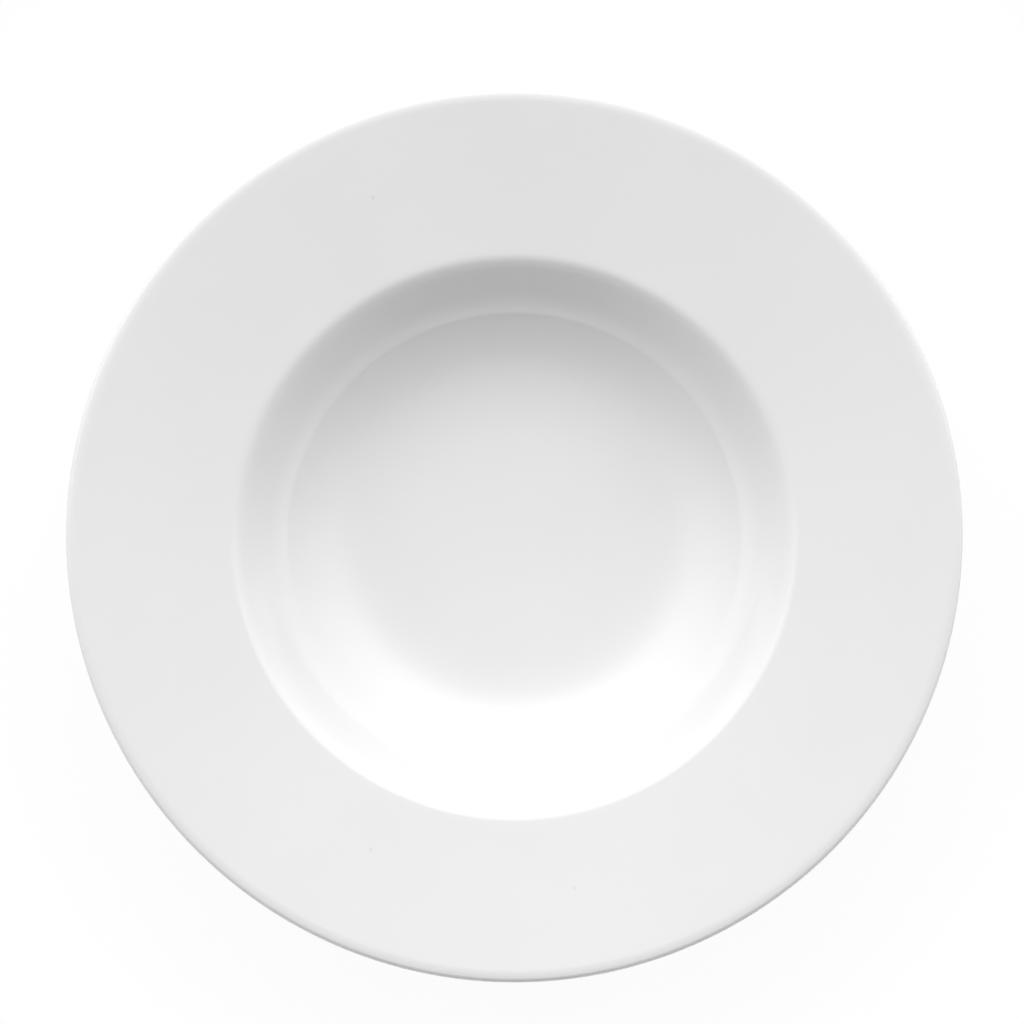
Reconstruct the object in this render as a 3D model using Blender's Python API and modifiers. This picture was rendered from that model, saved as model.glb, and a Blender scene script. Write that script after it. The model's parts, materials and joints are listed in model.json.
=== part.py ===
"""Wide-rimmed pasta plate, turned about the Z axis.

One porcelain body carries two coats of white glaze: one over the face, the lip and the outside, and one
on the base inside the foot ring. The bare foot parts the coats. Metres, +Z up, standing on z = 0.
"""

import math

import bpy

# Driving dimensions, over the glaze. A diameter is where the straight lines of two stretches meet.
PLATE_DIAMETER = 0.300
WELL_DIAMETER = 0.1865  # rim meets the wall of the well
FLOOR_DIAMETER = 0.1268  # wall meets the floor
FOOT_DIAMETER = 0.108  # underside meets the outer side of the foot ring

WELL_DEPTH = 0.0279  # floor to the inner edge of the rim
RIM_RISE = 0.0075  # inner edge of the rim to the shoulder of the lip
LIP_WIDTH = 0.0026  # shoulder to the outermost edge
LIP_FALL = 0.0007  # shoulder down to the outermost edge
RECESS_RISE = 0.0025  # glaze line to the base inside the foot ring

FLOOR_THICKNESS = 0.005
WALL_THICKNESS = 0.005
LIP_THICKNESS = 0.0042
FOOT_WIDTH = 0.006  # at the table
FOOT_TAPER = 0.0008  # how far each side of the foot leans

# Roundings. Those of the lip and the foot are the porcelain's own, under the glaze.
WELL_CURVE_RADIUS = 0.065
BEND_RADIUS = 0.0086
SHOULDER_RADIUS = 0.0066
NOSE_RADIUS = 0.0009
UNDER_BEND_RADIUS = 0.005
UNDER_CURVE_RADIUS = 0.045
FOOT_ROOT_RADIUS = 0.003
RECESS_ROOT_RADIUS = 0.002
FOOT_EDGE_RADIUS = 0.0008

# Glaze coats
GLAZE_THICKNESS = 0.0003
GLAZE_GAP = 0.0003  # between a coat and the porcelain
GLAZE_LINE = 0.0015  # height above the table where the glaze stops

# Facets
SEGMENTS = 48
ARC_TOLERANCE = 0.00012  # how far a facet may cut inside its arc
MERGE_DISTANCE = 0.00001  # joins the copies of a profile's end on the axis

# Colours and roughness
PORCELAIN_COLOUR = (0.80, 0.78, 0.74)
PORCELAIN_ROUGHNESS = 0.6
GLAZE_COLOUR = (0.82, 0.82, 0.82)
FACE_ROUGHNESS = 0.06
BASE_ROUGHNESS = 0.1

# Worked out from the sizes above
COAT = GLAZE_THICKNESS + GLAZE_GAP
BASE_HEIGHT = GLAZE_LINE + RECESS_RISE
FLOOR_HEIGHT = BASE_HEIGHT + FLOOR_THICKNESS


def clear_scene():
    for scene_object in list(bpy.data.objects):
        bpy.data.objects.remove(scene_object)


def direction(start, end):
    """Unit vector from one point of the half-plane to another."""
    across = end[0] - start[0]
    up = end[1] - start[1]
    length = math.hypot(across, up)
    return across / length, up / length


def moved_right(start, end, distance):
    """The stretch from start to end, moved sideways to its right."""
    across, up = direction(start, end)
    shift = (up * distance, -across * distance)
    return (start[0] + shift[0], start[1] + shift[1]), (across, up)


def crossing(first, second):
    """Where two lines meet, each given as a point and a direction."""
    (first_r, first_z), (first_across, first_up) = first
    (second_r, second_z), (across, up) = second
    turn = first_across * up - first_up * across
    travel = ((second_r - first_r) * up - (second_z - first_z) * across) / turn
    return first_r + travel * first_across, first_z + travel * first_up


def turn_at(before, corner, after):
    """Signed angle by which the outline turns at a corner, left positive."""
    in_across, in_up = direction(before, corner)
    out_across, out_up = direction(corner, after)
    return math.atan2(in_across * out_up - in_up * out_across, in_across * out_across + in_up * out_up)


def fitted_radii(corners, radii):
    """Corner radii, shortened where two roundings would not fit on the stretch between them."""
    tangents = [0.0] * len(corners)
    for index in range(1, len(corners) - 1):
        turn = turn_at(*corners[index - 1:index + 2])
        tangents[index] = radii[index] * math.tan(abs(turn) / 2)
    shares = [1.0] * len(corners)
    for index in range(len(corners) - 1):
        stretch = math.dist(corners[index], corners[index + 1])
        wanted = tangents[index] + tangents[index + 1]
        if wanted > stretch:
            shares[index] = min(shares[index], stretch / wanted)
            shares[index + 1] = min(shares[index + 1], stretch / wanted)
    return [radius * share for radius, share in zip(radii, shares)]


def rounded_corner(before, corner, after, radius):
    """Points and outward normals along the arc that rounds one corner."""
    across, up = direction(before, corner)
    turn = turn_at(before, corner, after)
    tangent = radius * math.tan(abs(turn) / 2)
    side = math.copysign(1.0, turn)
    start = (corner[0] - across * tangent, corner[1] - up * tangent)
    centre = (start[0] - up * radius * side, start[1] + across * radius * side)
    facet_turn = 2 * math.acos(1 - min(ARC_TOLERANCE / radius, 1.0))
    facets = max(1, math.ceil(abs(turn) / facet_turn))
    arc = []
    for facet in range(facets + 1):
        angle = turn * facet / facets
        normal_r = -up * math.cos(angle) - across * math.sin(angle)
        normal_z = across * math.cos(angle) - up * math.sin(angle)
        point = (centre[0] + normal_r * radius * -side, centre[1] + normal_z * radius * -side)
        arc.append((point, (normal_r, normal_z)))
    return arc


def rounded_outline(corners, radii):
    """Points and outward normals along an outline from the axis over the lip and back to the axis."""
    outline = [(corners[0], (0.0, 1.0))]
    for index in range(1, len(corners) - 1):
        outline += rounded_corner(*corners[index - 1:index + 2], radii[index])
    outline.append((corners[-1], (0.0, -1.0)))
    return outline


def plate_outline():
    """The plate's half section, over the glaze and with the foot's edge drawn in full."""
    plate_radius = PLATE_DIAMETER / 2
    floor_edge = (FLOOR_DIAMETER / 2, FLOOR_HEIGHT)
    well_edge = (WELL_DIAMETER / 2, FLOOR_HEIGHT + WELL_DEPTH)
    shoulder = (plate_radius - LIP_WIDTH, well_edge[1] + RIM_RISE)
    nose_top = (plate_radius, shoulder[1] - LIP_FALL)
    nose_bottom = (plate_radius, nose_top[1] - LIP_THICKNESS)
    corners = [(0.0, FLOOR_HEIGHT), floor_edge, well_edge, shoulder, nose_top, nose_bottom]
    nose_radius = NOSE_RADIUS + COAT
    radii = [0.0, WELL_CURVE_RADIUS, BEND_RADIUS, SHOULDER_RADIUS + COAT, nose_radius, nose_radius]

    # Underside of the wall and the rim, at the wall's thickness below their faces
    under_wall = moved_right(floor_edge, well_edge, WALL_THICKNESS)
    under_rim = moved_right(well_edge, shoulder, WALL_THICKNESS)
    under_bend = crossing(under_rim, under_wall)

    # The foot ring's outer root lies on the floor's curve, one floor's thickness below the face
    well_radius = fitted_radii(corners, radii)[1]
    wall_turn = turn_at(*corners[:3])
    curve_start = floor_edge[0] - well_radius * math.tan(wall_turn / 2)
    under_radius = well_radius + FLOOR_THICKNESS
    foot_radius = FOOT_DIAMETER / 2
    foot_slope = math.asin(max(0.0, foot_radius - curve_start) / under_radius)
    foot_root = (foot_radius, BASE_HEIGHT + under_radius * (1 - math.cos(foot_slope)))
    under_curve = crossing(under_wall, (foot_root, (math.cos(foot_slope), math.sin(foot_slope))))

    foot_outer = (foot_radius - FOOT_TAPER, -COAT)
    foot_inner = (foot_outer[0] - FOOT_WIDTH, -COAT)
    recess_root = (foot_inner[0] - FOOT_TAPER, BASE_HEIGHT)
    corners += [under_bend, under_curve, foot_root, foot_outer, foot_inner, recess_root]
    corners.append((0.0, BASE_HEIGHT))
    foot_edge_radius = FOOT_EDGE_RADIUS + COAT
    radii += [UNDER_BEND_RADIUS, UNDER_CURVE_RADIUS, FOOT_ROOT_RADIUS, foot_edge_radius, foot_edge_radius]
    radii += [RECESS_ROOT_RADIUS, 0.0]
    return rounded_outline(corners, fitted_radii(corners, radii))


def sunk(outline, depth):
    """The outline moved into the material by a depth."""
    return [(r - normal_r * depth, z - normal_z * depth) for (r, z), (normal_r, normal_z) in outline]


def glazed_stretch(outline):
    """The stretch of the outline from the axis to where it first comes down to the glaze line."""
    stretch = [outline[0]]
    for (point, _), (next_point, normal) in zip(outline, outline[1:]):
        if next_point[1] < GLAZE_LINE:
            share = (point[1] - GLAZE_LINE) / (point[1] - next_point[1])
            end_r = point[0] + share * (next_point[0] - point[0])
            stretch.append(((end_r, GLAZE_LINE), normal))
            break
        stretch.append((next_point, normal))
    return stretch


def make_material(name, colour, roughness):
    material = bpy.data.materials.new(name)
    material.use_nodes = True
    shader = material.node_tree.nodes["Principled BSDF"]
    shader.inputs["Base Color"].default_value = (*colour, 1.0)
    shader.inputs["Roughness"].default_value = roughness
    shader.inputs["Metallic"].default_value = 0.0
    return material


def turned_piece(name, profile, material, collection):
    """A solid of revolution from a profile that runs from the axis, down its outer side, to the axis."""
    mesh = bpy.data.meshes.new(name)
    points = [(r, 0.0, z) for r, z in profile]
    edges = [(index, index + 1) for index in range(len(points) - 1)]
    mesh.from_pydata(points, edges, [])
    mesh.materials.append(material)
    piece = bpy.data.objects.new(name, mesh)
    collection.objects.link(piece)
    screw = piece.modifiers.new("Turned", "SCREW")
    screw.axis = "Z"
    screw.steps = SEGMENTS
    screw.render_steps = SEGMENTS
    screw.use_merge_vertices = True
    screw.merge_threshold = MERGE_DISTANCE
    screw.use_smooth_shade = True
    return piece


def build_plate():
    clear_scene()
    collection = bpy.data.collections.new("pasta_plate")
    bpy.context.scene.collection.children.link(collection)
    porcelain = make_material("bare_porcelain", PORCELAIN_COLOUR, PORCELAIN_ROUGHNESS)
    face_white = make_material("face_white", GLAZE_COLOUR, FACE_ROUGHNESS)
    base_white = make_material("base_white", GLAZE_COLOUR, BASE_ROUGHNESS)

    outline = plate_outline()
    turned_piece("porcelain_body", sunk(outline, COAT), porcelain, collection)

    face = glazed_stretch(outline)
    face_profile = sunk(face, 0.0) + sunk(face, GLAZE_THICKNESS)[::-1]
    turned_piece("face_glaze", face_profile, face_white, collection)

    base = glazed_stretch(outline[::-1])
    base_profile = sunk(base, GLAZE_THICKNESS) + sunk(base, 0.0)[::-1]
    turned_piece("base_glaze", base_profile, base_white, collection)


build_plate()
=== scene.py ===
# A white pasta plate: one turned porcelain body under two coats of glaze, on a pale floor in a soft studio.
import json
import math

import bpy
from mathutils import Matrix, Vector


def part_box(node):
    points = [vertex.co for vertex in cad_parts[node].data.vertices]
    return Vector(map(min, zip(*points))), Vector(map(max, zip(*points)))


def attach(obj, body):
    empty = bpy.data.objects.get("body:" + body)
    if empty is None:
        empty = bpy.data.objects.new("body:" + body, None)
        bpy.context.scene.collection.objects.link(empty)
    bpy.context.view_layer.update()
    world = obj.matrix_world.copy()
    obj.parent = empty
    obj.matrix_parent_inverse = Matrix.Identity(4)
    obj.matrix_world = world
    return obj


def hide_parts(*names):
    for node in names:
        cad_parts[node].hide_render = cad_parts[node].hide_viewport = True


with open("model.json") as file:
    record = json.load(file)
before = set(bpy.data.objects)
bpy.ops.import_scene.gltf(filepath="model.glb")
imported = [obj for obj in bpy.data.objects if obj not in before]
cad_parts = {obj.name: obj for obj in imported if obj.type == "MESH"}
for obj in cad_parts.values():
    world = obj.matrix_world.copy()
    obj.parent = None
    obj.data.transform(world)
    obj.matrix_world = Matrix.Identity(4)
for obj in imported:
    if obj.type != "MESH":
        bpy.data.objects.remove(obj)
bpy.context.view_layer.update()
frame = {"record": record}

# Porcelain body
# The plate's one bearing piece: porcelain pressed in a mould, fired, and ground flat under its foot ring.
# Glaze hides all of it but the foot's edge, so the half section is drawn over the glaze, in metres from the
# axis and above the table, and the body lies below that section by the depth of the glaze.
body_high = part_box("porcelain_body")[1]
face_low, face_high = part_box("face_glaze")
plate_radius = face_high.x
glaze_depth = face_high.x - body_high.x
glaze_line = face_low.z

# Where the straight stretches of the section meet, and how round each meeting is
well_diameter = 0.1865
floor_diameter = 0.1268
foot_diameter = 0.108
well_depth = 0.0279
rim_rise = 0.0075
lip_width = 0.0026
lip_fall = 0.0007
lip_thickness = 0.0042
wall_thickness = 0.005
recess_rise = 0.0025
foot_width = 0.006
foot_taper = 0.0008
floor_rounding = 0.065
bend_rounding = 0.0086
shoulder_rounding = 0.0072
nose_rounding = 0.0015
under_bend_rounding = 0.005
under_curve_rounding = 0.045
foot_root_rounding = 0.003
foot_edge_rounding = 0.0014
recess_rounding = 0.002


def heading(start, end):
    """Direction of the outline from one point of the half section to another."""
    return math.atan2(end[1] - start[1], end[0] - start[0])


def moved(point, direction, distance):
    """A point of the half section, moved in a direction."""
    return point[0] + math.cos(direction) * distance, point[1] + math.sin(direction) * distance


def crossing(point, direction, other_point, other_direction):
    """Where two lines of the half section meet."""
    across = (other_point[0] - point[0]) * math.sin(other_direction)
    up = (other_point[1] - point[1]) * math.cos(other_direction)
    return moved(point, direction, (across - up) / math.sin(other_direction - direction))


# Corners of the face, from the axis to the lip, each with its distance from the axis, height and rounding
base_height = glaze_line + recess_rise
floor_height = base_height + wall_thickness
floor_centre = (0.0, floor_height)
floor_edge = (floor_diameter / 2, floor_height, floor_rounding)
well_edge = (well_diameter / 2, floor_height + well_depth, bend_rounding)
shoulder = (plate_radius - lip_width, well_edge[1] + rim_rise, shoulder_rounding)
nose_top = (plate_radius, shoulder[1] - lip_fall, nose_rounding)
nose_bottom = (plate_radius, nose_top[1] - lip_thickness, nose_rounding)

# The underside runs one wall below the face, down to a foot ring that stands on the curve of the floor
right_angle = math.pi / 2
wall_slope = heading(floor_edge, well_edge)
rim_slope = heading(well_edge, shoulder)
under_wall = moved(floor_edge, wall_slope - right_angle, wall_thickness)
under_rim = moved(well_edge, rim_slope - right_angle, wall_thickness)
under_bend = (*crossing(under_rim, rim_slope, under_wall, wall_slope), under_bend_rounding)
flat_radius = floor_edge[0] - floor_rounding * math.tan(wall_slope / 2)
foot_radius = foot_diameter / 2
under_rounding = floor_rounding + wall_thickness
root_slope = math.asin((foot_radius - flat_radius) / under_rounding)
root_height = base_height + under_rounding * (1 - math.cos(root_slope))
foot_root = (foot_radius, root_height, foot_root_rounding)
under_curve = (*crossing(under_wall, wall_slope, foot_root, root_slope), under_curve_rounding)
foot_outer = (foot_radius - foot_taper, -glaze_depth, foot_edge_rounding)
foot_inner = (foot_outer[0] - foot_width, -glaze_depth, foot_edge_rounding)
recess_root = (foot_inner[0] - foot_taper, base_height, recess_rounding)
base_centre = (0.0, base_height)

finest_turn = math.radians(3)
stride = 0.0025


def straight_run(start, end):
    """Points between the ends of a straight stretch, a stride or less apart, without the ends."""
    direction = heading(start, end)
    distance = math.dist(start, end)
    strides = math.ceil(distance / stride)
    return [(moved(start, direction, distance * step / strides), direction) for step in range(1, strides)]


def rounded_outline(corners):
    """Points of an outline through corners with their roundings, each with the outline's direction there."""
    outline = [(corners[0][:2], heading(corners[0], corners[1]))]
    for before, corner, after in zip(corners, corners[1:], corners[2:]):
        direction = heading(before, corner)
        turn = math.remainder(heading(corner, after) - direction, math.tau)
        inward = math.copysign(right_angle, turn)
        rounding = corner[2]
        start = moved(corner, direction, -rounding * math.tan(abs(turn) / 2))
        centre = moved(start, direction + inward, rounding)
        facets = math.ceil(abs(turn) * max(1 / finest_turn, rounding / stride))
        outline += straight_run(outline[-1][0], start)
        for facet in range(facets + 1):
            facing = direction + turn * facet / facets
            outline.append((moved(centre, facing - inward, rounding), facing))
    end = corners[-1][:2]
    outline += straight_run(outline[-1][0], end)
    outline.append((end, heading(corners[-2], end)))
    return outline


def sunk(outline, depth):
    """The outline's points, moved into the material."""
    return [moved(point, direction - right_angle, depth) for point, direction in outline]


class Wire:
    """A socket of a node tree. Arithmetic on it adds Math nodes, and add() places any other node."""

    # Numbers of a Mix node's sockets for colours, which share their names with its other sockets
    FIRST_COLOUR = 6
    SECOND_COLOUR = 7
    MIXED_COLOUR = 2

    def __init__(self, tree, socket=None):
        self.tree = tree
        self.socket = socket

    def add(self, kind, settings=None, sockets=None, output=0):
        """Places a node: its settings first, then the values and links of its sockets."""
        node = self.tree.nodes.new(kind)
        for name, value in (settings or {}).items():
            setattr(node, name, value)
        for name, value in (sockets or {}).items():
            if isinstance(value, Wire):
                value.feed(node.inputs[name])
            else:
                node.inputs[name].default_value = value
        return Wire(self.tree, node.outputs[output] if node.outputs else None)

    def feed(self, socket):
        """Links this wire to a socket."""
        self.tree.links.new(self.socket, socket)

    def beside(self, output):
        """Another output of the same node."""
        return Wire(self.tree, self.socket.node.outputs[output])

    def reckoned(self, operation, other=0.0):
        """The result of a Math node on this wire and another."""
        return self.add("ShaderNodeMath", {"operation": operation}, {0: self, 1: other})

    def __add__(self, other):
        return self.reckoned("ADD", other)

    def __sub__(self, other):
        return self.reckoned("SUBTRACT", other)

    def __rsub__(self, other):
        return self.add("ShaderNodeMath", {"operation": "SUBTRACT"}, {0: other, 1: self})

    def __mul__(self, other):
        return self.reckoned("MULTIPLY", other)

    def __truediv__(self, other):
        return self.reckoned("DIVIDE", other)

    def __mod__(self, other):
        return self.reckoned("MODULO", other)

    __radd__ = __add__
    __rmul__ = __mul__

    def eased(self, low, high):
        """From 0 where the value is low to 1 where it is high, with soft ends."""
        limits = {"Value": self, "From Min": low, "From Max": high}
        return self.add("ShaderNodeMapRange", {"interpolation_type": "SMOOTHSTEP"}, limits)

    def between(self, first, second):
        """A colour from first, where the value is 0, to second, where it is 1."""
        colours = {"Factor": self, Wire.FIRST_COLOUR: first, Wire.SECOND_COLOUR: second}
        return self.add("ShaderNodeMix", {"data_type": "RGBA"}, colours, Wire.MIXED_COLOUR)

    def blotches(self, width):
        """Noise from a place, in blotches of about this width."""
        return self.add("ShaderNodeTexNoise", {}, {"Vector": self, "Scale": 1 / width})


# Geometry Nodes turn a profile about the axis, with the slight saddle that a wide rim takes in the kiln
saddle_crests = 2
wheel = bpy.data.node_groups.new("turned_porcelain", "GeometryNodeTree")
wheel.is_modifier = True
wheel_inlets = {}
for inlet_name, inlet_kind in (
    ("Profile", "NodeSocketGeometry"),
    ("Segments", "NodeSocketInt"),
    ("Steady Radius", "NodeSocketFloat"),
    ("Rim Radius", "NodeSocketFloat"),
    ("Kiln Saddle", "NodeSocketFloat"),
    ("Join Distance", "NodeSocketFloat"),
    ("Finish", "NodeSocketMaterial"),
):
    inlet = wheel.interface.new_socket(inlet_name, in_out="INPUT", socket_type=inlet_kind)
    wheel_inlets[inlet_name] = inlet.identifier
wheel.interface.new_socket("Piece", in_out="OUTPUT", socket_type="NodeSocketGeometry")
profile = Wire(wheel).add("NodeGroupInput", output="Profile")
segments = profile.beside("Segments")
profile_points = {"Geometry": profile}
count = profile.add("GeometryNodeAttributeDomainSize", {"component": "MESH"}, profile_points, "Point Count")
sheet_sizes = {"Size X": 1.0, "Size Y": 1.0, "Vertices X": segments + 1, "Vertices Y": count}
sheet = profile.add("GeometryNodeMeshGrid", {}, sheet_sizes, "Mesh")
index = profile.add("GeometryNodeInputIndex")
turned_angle = (index / count).reckoned("FLOOR") / segments * math.tau
profile_place = profile.add("GeometryNodeInputPosition")
section_point = {"Geometry": profile, "Value": profile_place, "Index": index % count}
section = profile.add("GeometryNodeSampleIndex", {"data_type": "FLOAT_VECTOR"}, section_point)
radius = profile.add("ShaderNodeSeparateXYZ", {}, {0: section}, "X")
rim_share = radius.eased(profile.beside("Steady Radius"), profile.beside("Rim Radius"))
lift = rim_share * profile.beside("Kiln Saddle") * (turned_angle * saddle_crests).reckoned("COSINE")
turned_place = {
    "X": radius * turned_angle.reckoned("COSINE"),
    "Y": radius * turned_angle.reckoned("SINE"),
    "Z": radius.beside("Z") + lift,
}
place = profile.add("ShaderNodeCombineXYZ", {}, turned_place)
turned = profile.add("GeometryNodeSetPosition", {}, {"Geometry": sheet, "Position": place})
flat_map = {"Geometry": turned, "Name": "UVMap", "Value": sheet.beside("UV Map")}
mapped = profile.add("GeometryNodeStoreNamedAttribute", {"data_type": "FLOAT2", "domain": "CORNER"}, flat_map)
closing = {"Geometry": mapped, "Distance": profile.beside("Join Distance")}
closed = profile.add("GeometryNodeMergeByDistance", {}, closing)
smooth = profile.add("GeometryNodeSetShadeSmooth", {}, {"Geometry": closed})
whole = profile.add("GeometryNodeRealizeInstances", {}, {"Geometry": smooth})
coated = {"Geometry": whole, "Material": profile.beside("Finish")}
profile.add("NodeGroupOutput", {}, {"Piece": profile.add("GeometryNodeSetMaterial", {}, coated)})

round_segments = 200
kiln_saddle = 0.0002
join_distance = 0.000001


def turned_piece(name, points, finish):
    """One piece of the plate, turned from its profile into a plain mesh at the origin."""
    line = bpy.data.meshes.new(name + "_profile")
    line.from_pydata([(r, 0.0, z) for r, z in points], [], [])
    piece = bpy.data.objects.new(name, line)
    bpy.context.scene.collection.objects.link(piece)
    turning = piece.modifiers.new("turning", "NODES")
    turning.node_group = wheel
    turning[wheel_inlets["Segments"]] = round_segments
    turning[wheel_inlets["Steady Radius"]] = foot_radius
    turning[wheel_inlets["Rim Radius"]] = plate_radius
    turning[wheel_inlets["Kiln Saddle"]] = kiln_saddle
    turning[wheel_inlets["Join Distance"]] = join_distance
    turning[wheel_inlets["Finish"]] = finish
    mesh = bpy.data.meshes.new_from_object(piece.evaluated_get(bpy.context.evaluated_depsgraph_get()))
    piece.modifiers.remove(turning)
    piece.data = mesh
    mesh.name = name
    bpy.data.meshes.remove(line)
    return piece


def new_finish(name):
    """An empty finish: its material, its shader, and a wire with the place on the plate."""
    finish = bpy.data.materials.new(name)
    finish.use_nodes = True
    shader = finish.node_tree.nodes["Principled BSDF"]
    return finish, shader, Wire(finish.node_tree).add("ShaderNodeTexCoord", output="Object")


# Bare fired porcelain: a warm white with a fine tooth, and grey rings where the foot was ground and has slid.
# Each fade gives the noise where the scuffs begin and the noise where they are full.
slot_colours = {entry["slot"]: (*entry["base_color"], 1.0) for entry in frame["record"]["materials"]}
scuff_colour = (0.56, 0.54, 0.51, 1.0)
scuff_height = 0.0004
scuff_spacing = 0.0005
scuff_ring_fade = (0.5, 0.75)
scuff_patch = 0.012
scuff_patch_fade = (0.4, 0.7)
tooth_size = 0.0003
tooth_depth = 0.00002
bare_roughness = 0.55
tooth_roughness = 0.2
level_share = (1.0, 1.0, 0.0)

bare_finish, bare_shader, bare_place = new_finish("bare_porcelain")
bare_height = bare_place.add("ShaderNodeSeparateXYZ", {}, {0: bare_place}, "Z")
level_sockets = {0: bare_place, 1: level_share}
level_place = bare_place.add("ShaderNodeVectorMath", {"operation": "MULTIPLY"}, level_sockets)
axis_distance = level_place.add("ShaderNodeVectorMath", {"operation": "LENGTH"}, {0: level_place}, "Value")
ring_noise = {"W": axis_distance, "Scale": 1 / scuff_spacing}
rings = axis_distance.add("ShaderNodeTexNoise", {"noise_dimensions": "1D"}, ring_noise)
ground = 1 - bare_height.eased(0.0, scuff_height)
patches = bare_place.blotches(scuff_patch)
scuffs = ground * rings.eased(*scuff_ring_fade) * patches.eased(*scuff_patch_fade)
tooth = bare_place.blotches(tooth_size)
scuffs.between(slot_colours["bare_porcelain"], scuff_colour).feed(bare_shader.inputs["Base Color"])
(tooth * tooth_roughness + bare_roughness).feed(bare_shader.inputs["Roughness"])
tooth_bump = bare_place.add("ShaderNodeBump", {}, {"Height": tooth, "Distance": tooth_depth})
tooth_bump.feed(bare_shader.inputs["Normal"])

face_corners = [floor_centre, floor_edge, well_edge, shoulder, nose_top, nose_bottom]
face_corners += [under_bend, under_curve, foot_root]
body_corners = face_corners + [foot_outer, foot_inner, recess_root, base_centre]
body_points = sunk(rounded_outline(body_corners), glaze_depth)
porcelain_body = turned_piece("plate_body", body_points, bare_finish)
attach(porcelain_body, "root")
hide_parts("porcelain_body")

# Face glaze
# One coat of white glaze over the floor, the wall, the rim, the lip and the underside down to the foot ring.
# It goes on in one dip, is fired to a hard glass, and ends in a soft bead where the foot was wiped clean.
seat_gap = 0.00002
coat_thickness = glaze_depth - seat_gap
bead_facets = 8


def coat_points(corners, thickness):
    """Closed profile of a coat from the axis: its surface, a bead at the foot, and back along the porcelain.

    The thickness is negative where the porcelain lies to the left of the surface.
    """
    outline = rounded_outline(corners)
    end, direction = outline[-1]
    bead_centre = moved(end, direction - right_angle, thickness / 2)
    bead = []
    for facet in range(1, bead_facets):
        facing = direction + right_angle - math.copysign(math.pi * facet / bead_facets, thickness)
        bead.append(moved(bead_centre, facing, thickness / 2))
    return sunk(outline, 0.0) + bead + sunk(outline, thickness)[::-1]


def foot_side(root, edge):
    """Where the glaze ends on the straight side of the foot ring."""
    height = glaze_line + coat_thickness / 2
    share = (height - root[1]) / (edge[1] - root[1])
    return root[0] + share * (edge[0] - root[0]), height


# White glaze: an even gloss with a trace of cloud, the faint ripple of a dipped coat, and a few pinholes
face_roughness = 0.035
face_roughness_drift = 0.015
cloud_size = 0.05
cloud_range = (0.3, 0.7)
cloud_fade = 0.985
ripple_size = 0.004
ripple_depth = 0.000001
# Pinholes are painted darker: painted shade for pits that the surface does not have
pinhole_radius = 0.001
pinhole_painted_shade = 0.88


def shade_of(colour, share):
    """A colour, darkened to a share of itself."""
    return (*(channel * share for channel in colour[:3]), colour[3])


def glaze_finish(name, colour, roughness, roughness_drift, pinholes):
    """White glaze in a colour, with a roughness that drifts a little and pinholes of painted shade at their
    places.
    """
    finish, shader, spot = new_finish(name)
    clouds = spot.blotches(cloud_size).eased(*cloud_range)
    tone = clouds.between(shade_of(colour, cloud_fade), colour)
    for pinhole in pinholes:
        distance = spot.add("ShaderNodeVectorMath", {"operation": "DISTANCE"}, {0: spot, 1: pinhole}, "Value")
        # Each pinhole is a darker spot of painted shade, standing for the shade in a pit that the surface
        # does not have
        hole = 1 - distance.eased(0.0, pinhole_radius)
        tone = hole.between(tone, shade_of(colour, pinhole_painted_shade))
    tone.feed(shader.inputs["Base Color"])
    (clouds * roughness_drift + roughness).feed(shader.inputs["Roughness"])
    ripple = spot.blotches(ripple_size)
    rippled = spot.add("ShaderNodeBump", {}, {"Height": ripple, "Distance": ripple_depth})
    rippled.feed(shader.inputs["Normal"])
    return finish


def on_rim(angle, distance):
    """A place on the face of the rim, by its angle from the right-hand side and its distance outwards."""
    height = well_edge[1] + (distance - well_edge[0]) * math.tan(rim_slope)
    return distance * math.cos(angle), distance * math.sin(angle), height


# The pinholes on the rim, two on the left and one near the viewer
far_left_pinhole = on_rim(math.radians(112.6), 0.1232)
near_left_pinhole = on_rim(math.radians(245.5), 0.1157)
near_pinhole = on_rim(math.radians(279.7), 0.1200)
pinhole_places = (far_left_pinhole, near_left_pinhole, near_pinhole)

face_colour = slot_colours["white_glaze"]
face_finish = glaze_finish("white_glaze", face_colour, face_roughness, face_roughness_drift, pinhole_places)
face_points = coat_points(face_corners + [foot_side(foot_root, foot_outer)], coat_thickness)
face_glaze = turned_piece("glaze_face", face_points, face_finish)
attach(face_glaze, "root")
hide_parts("face_glaze")

# Base glaze
# A disc of the same glaze on the base inside the foot ring, from the same dip. The foot, wiped clean before
# the firing, keeps it apart from the other coat. It is a little less glossy, and has no pinholes.
base_roughness = 0.07
base_roughness_drift = 0.05
base_colour = slot_colours["base_glaze"]
base_finish = glaze_finish("base_glaze", base_colour, base_roughness, base_roughness_drift, ())
base_corners = [base_centre, recess_root, foot_side(recess_root, foot_inner)]
base_points = coat_points(base_corners, -coat_thickness)[::-1]
base_glaze = turned_piece("glaze_base", base_points, base_finish)
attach(base_glaze, "root")
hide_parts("base_glaze")

# Floor
# A plain pale sweep that the plate stands on. Around the plate it shows white to the camera and in
# reflections, with the plate's soft shadow left in it, and it lights the plate as a pale floor does.
floor_half = 8.0
floor_drop = 0.00005
floor_albedo = 0.88
shown_albedo = 0.09
shown_glow = 0.92

# Painted pool of light: white near the plate, a shade darker away, so a rim mirroring the lamp stands out
painted_pool_radius = 0.21
painted_pool_edge = 0.35
pool_glow_loss = 0.1


def grey(level):
    """An even grey, or white at a level of 1."""
    return (level, level, level, 1.0)


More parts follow.
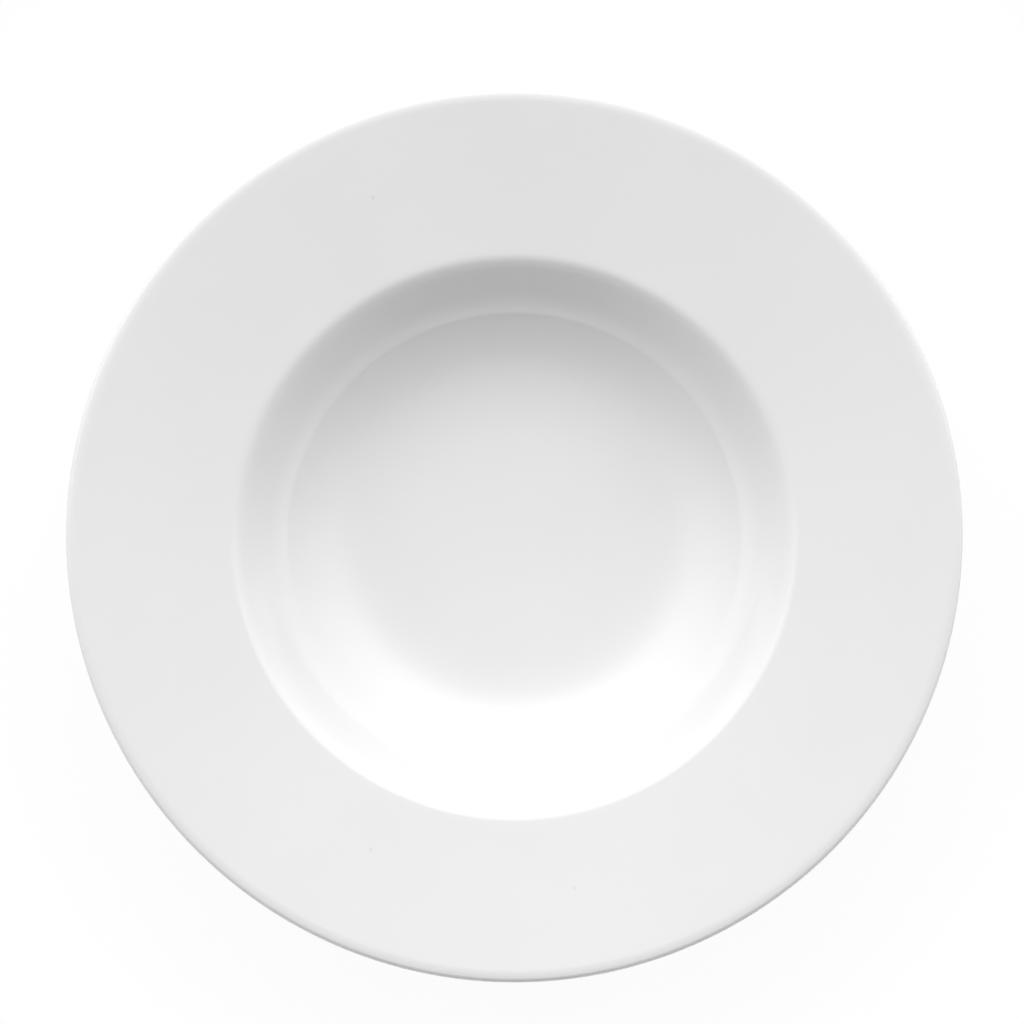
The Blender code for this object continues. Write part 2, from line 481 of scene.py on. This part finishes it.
floor_mesh = bpy.data.meshes.new("floor")
floor_mesh.from_pydata(
    [(x * floor_half, y * floor_half, -floor_drop) for x, y in ((-1, -1), (1, -1), (1, 1), (-1, 1))],
    [],
    [(0, 1, 2, 3)],
)
floor = bpy.data.objects.new("floor", floor_mesh)
bpy.context.scene.collection.objects.link(floor)
floor_finish = bpy.data.materials.new("pale_floor")
floor_finish.use_nodes = True
floor_mesh.materials.append(floor_finish)
floor_tree = floor_finish.node_tree
seen = Wire(floor_tree).add("ShaderNodeLightPath", output="Is Camera Ray")
shown = seen + seen.beside("Is Glossy Ray") + seen.beside("Is Transmission Ray")
lit = seen.add("ShaderNodeBsdfDiffuse", {}, {"Color": grey(floor_albedo)})
shaded = seen.add("ShaderNodeBsdfDiffuse", {}, {"Color": grey(shown_albedo)})
floor_place = seen.add("ShaderNodeTexCoord", output="Object")
plate_distance = seen.add("ShaderNodeVectorMath", {"operation": "LENGTH"}, {0: floor_place}, "Value")
# The floor's glow is strongest around the plate and weaker further out: a painted pool of light
pooled_glow_strength = shown_glow - plate_distance.eased(painted_pool_radius, painted_pool_edge) * pool_glow_loss
glow = seen.add("ShaderNodeEmission", {}, {"Color": grey(1.0), "Strength": pooled_glow_strength})
white = seen.add("ShaderNodeAddShader", {}, {0: shaded, 1: glow})
floor_surface = seen.add("ShaderNodeMixShader", {}, {0: shown, 1: lit, 2: white})
floor_surface.feed(floor_tree.nodes["Material Output"].inputs["Surface"])

# Studio light
# One wide soft lamp wraps the far side of the table and ends in a soft upper edge, softer still in the gloss,
# and a dimmer cloth hangs overhead, a little towards the viewer. The near side stays dark, which gives the
# well its shading.
lamp_angle = math.radians(93.6)
lamp_level = 1.459
lamp_swing = 1.574
lamp_elevation = math.radians(46.7)
lamp_reach_down = math.radians(23.5)
lamp_reach_up = math.radians(6)
gloss_reach_up = math.radians(9)
lamp_foot_share = 0.275
cloth_level = 0.63
cloth_lean = 2.49
cloth_start = 0.673
cloth_full = 1.0


def bell(offset, reach):
    """From 1 where there is no offset down to 0, in the shape of a bell."""
    share = offset / reach
    return (0 - share * share / 2).reckoned("EXPONENT")


studio = bpy.data.worlds.new("studio")
studio.use_nodes = True
bpy.context.scene.world = studio
studio_tree = studio.node_tree
ray = Wire(studio_tree).add("ShaderNodeTexCoord", output="Generated")
in_gloss = ray.add("ShaderNodeLightPath", output="Is Glossy Ray")
rightward = ray.add("ShaderNodeSeparateXYZ", {}, {0: ray}, "X")
farward = rightward.beside("Y")
upward = rightward.beside("Z")
level_reach = (1 - upward * upward).reckoned("SQRT")
towards_lamp = (rightward * math.cos(lamp_angle) + farward * math.sin(lamp_angle)) / level_reach
lamp_round = (towards_lamp * lamp_swing + lamp_level).reckoned("MAXIMUM", 0.0)
above_lamp = upward.reckoned("ARCSINE") - lamp_elevation
lower_part = bell(above_lamp.reckoned("MINIMUM", 0.0), lamp_reach_down)
upper_reach = in_gloss * (gloss_reach_up - lamp_reach_up) + lamp_reach_up
upper_part = bell(above_lamp.reckoned("MAXIMUM", 0.0), upper_reach)
lamp = lamp_round * (lower_part * (1 - lamp_foot_share) + lamp_foot_share) * upper_part
cloth_round = (1 - farward * cloth_lean).reckoned("MAXIMUM", 0.0)
cloth = upward.eased(cloth_start, cloth_full) * cloth_round * cloth_level

# A low white surround, leaning with the table towards the camera, stands where only the gloss of the glaze
# shows it: it is the pale ring in the well. It is brightest towards the viewer, fades towards its foot, and
# is left open in front of the lamp.
surround_lean = math.radians(3.6)
surround_top = 0.312
surround_edge = 0.01
surround_foot = 0.05
surround_full = 0.22
surround_level = 0.62
open_side = -0.6
closed_side = -0.1
foot_level = 0.35
near_foot = 0.1
near_level = 0.75
near_start = 0.7
near_full = 1.0
nearward = 0 - farward
leaning_rise = upward * math.cos(surround_lean) - nearward * math.sin(surround_lean)
below_top = (surround_top - leaning_rise).eased(-surround_edge, surround_edge)
towards_near = nearward.eased(near_start, near_full)
side_round = nearward.eased(open_side, closed_side) * surround_level
side_part = leaning_rise.eased(surround_foot, surround_full) * side_round
near_part = leaning_rise.eased(near_foot, surround_top) * towards_near * near_level
foot_part = (1 - towards_near) * foot_level
surround = below_top * (side_part + near_part + foot_part)
light = lamp + cloth + surround * in_gloss

# Past the floor's edge the picture shows the shade of the far floor, which lights nothing
backdrop_level = 0.908
past_floor = in_gloss.beside("Is Camera Ray") + in_gloss.beside("Is Transmission Ray")
backdrop = studio_tree.nodes["Background"]
(light * (1 - past_floor) + past_floor * backdrop_level).feed(backdrop.inputs["Strength"])
backdrop.inputs["Color"].default_value = grey(1.0)

# Camera
# It looks down on the plate from almost straight above, with the plate's near side at the foot of the
# picture. The plate's outline has its measured half width and centre in the picture, in pixels.
picture_width = 1024
outline_half_width = 448.4
outline_centre = (514.4, 535.0)
camera_elevation = math.radians(84.4)
camera_distance = 12.0
lens_camera = bpy.data.cameras.new("camera")
pixels_per_metre = outline_half_width / plate_radius
lens_camera.lens = lens_camera.sensor_width * pixels_per_metre * camera_distance / picture_width
aside = (picture_width / 2 - outline_centre[0]) / pixels_per_metre
above = (outline_centre[1] - picture_width / 2) / pixels_per_metre
camera = bpy.data.objects.new("camera", lens_camera)
bpy.context.scene.collection.objects.link(camera)
camera_up = Vector((0.0, math.sin(camera_elevation), math.cos(camera_elevation)))
camera_back = Vector((0.0, -math.cos(camera_elevation), math.sin(camera_elevation)))
lip_centre = Vector((0.0, 0.0, nose_top[1]))
camera.location = lip_centre + Vector((aside, 0.0, 0.0)) + camera_up * above + camera_back * camera_distance
camera.rotation_euler = (right_angle - camera_elevation, 0.0, 0.0)
bpy.context.scene.camera = camera
bpy.context.scene.view_settings.view_transform = "Standard"
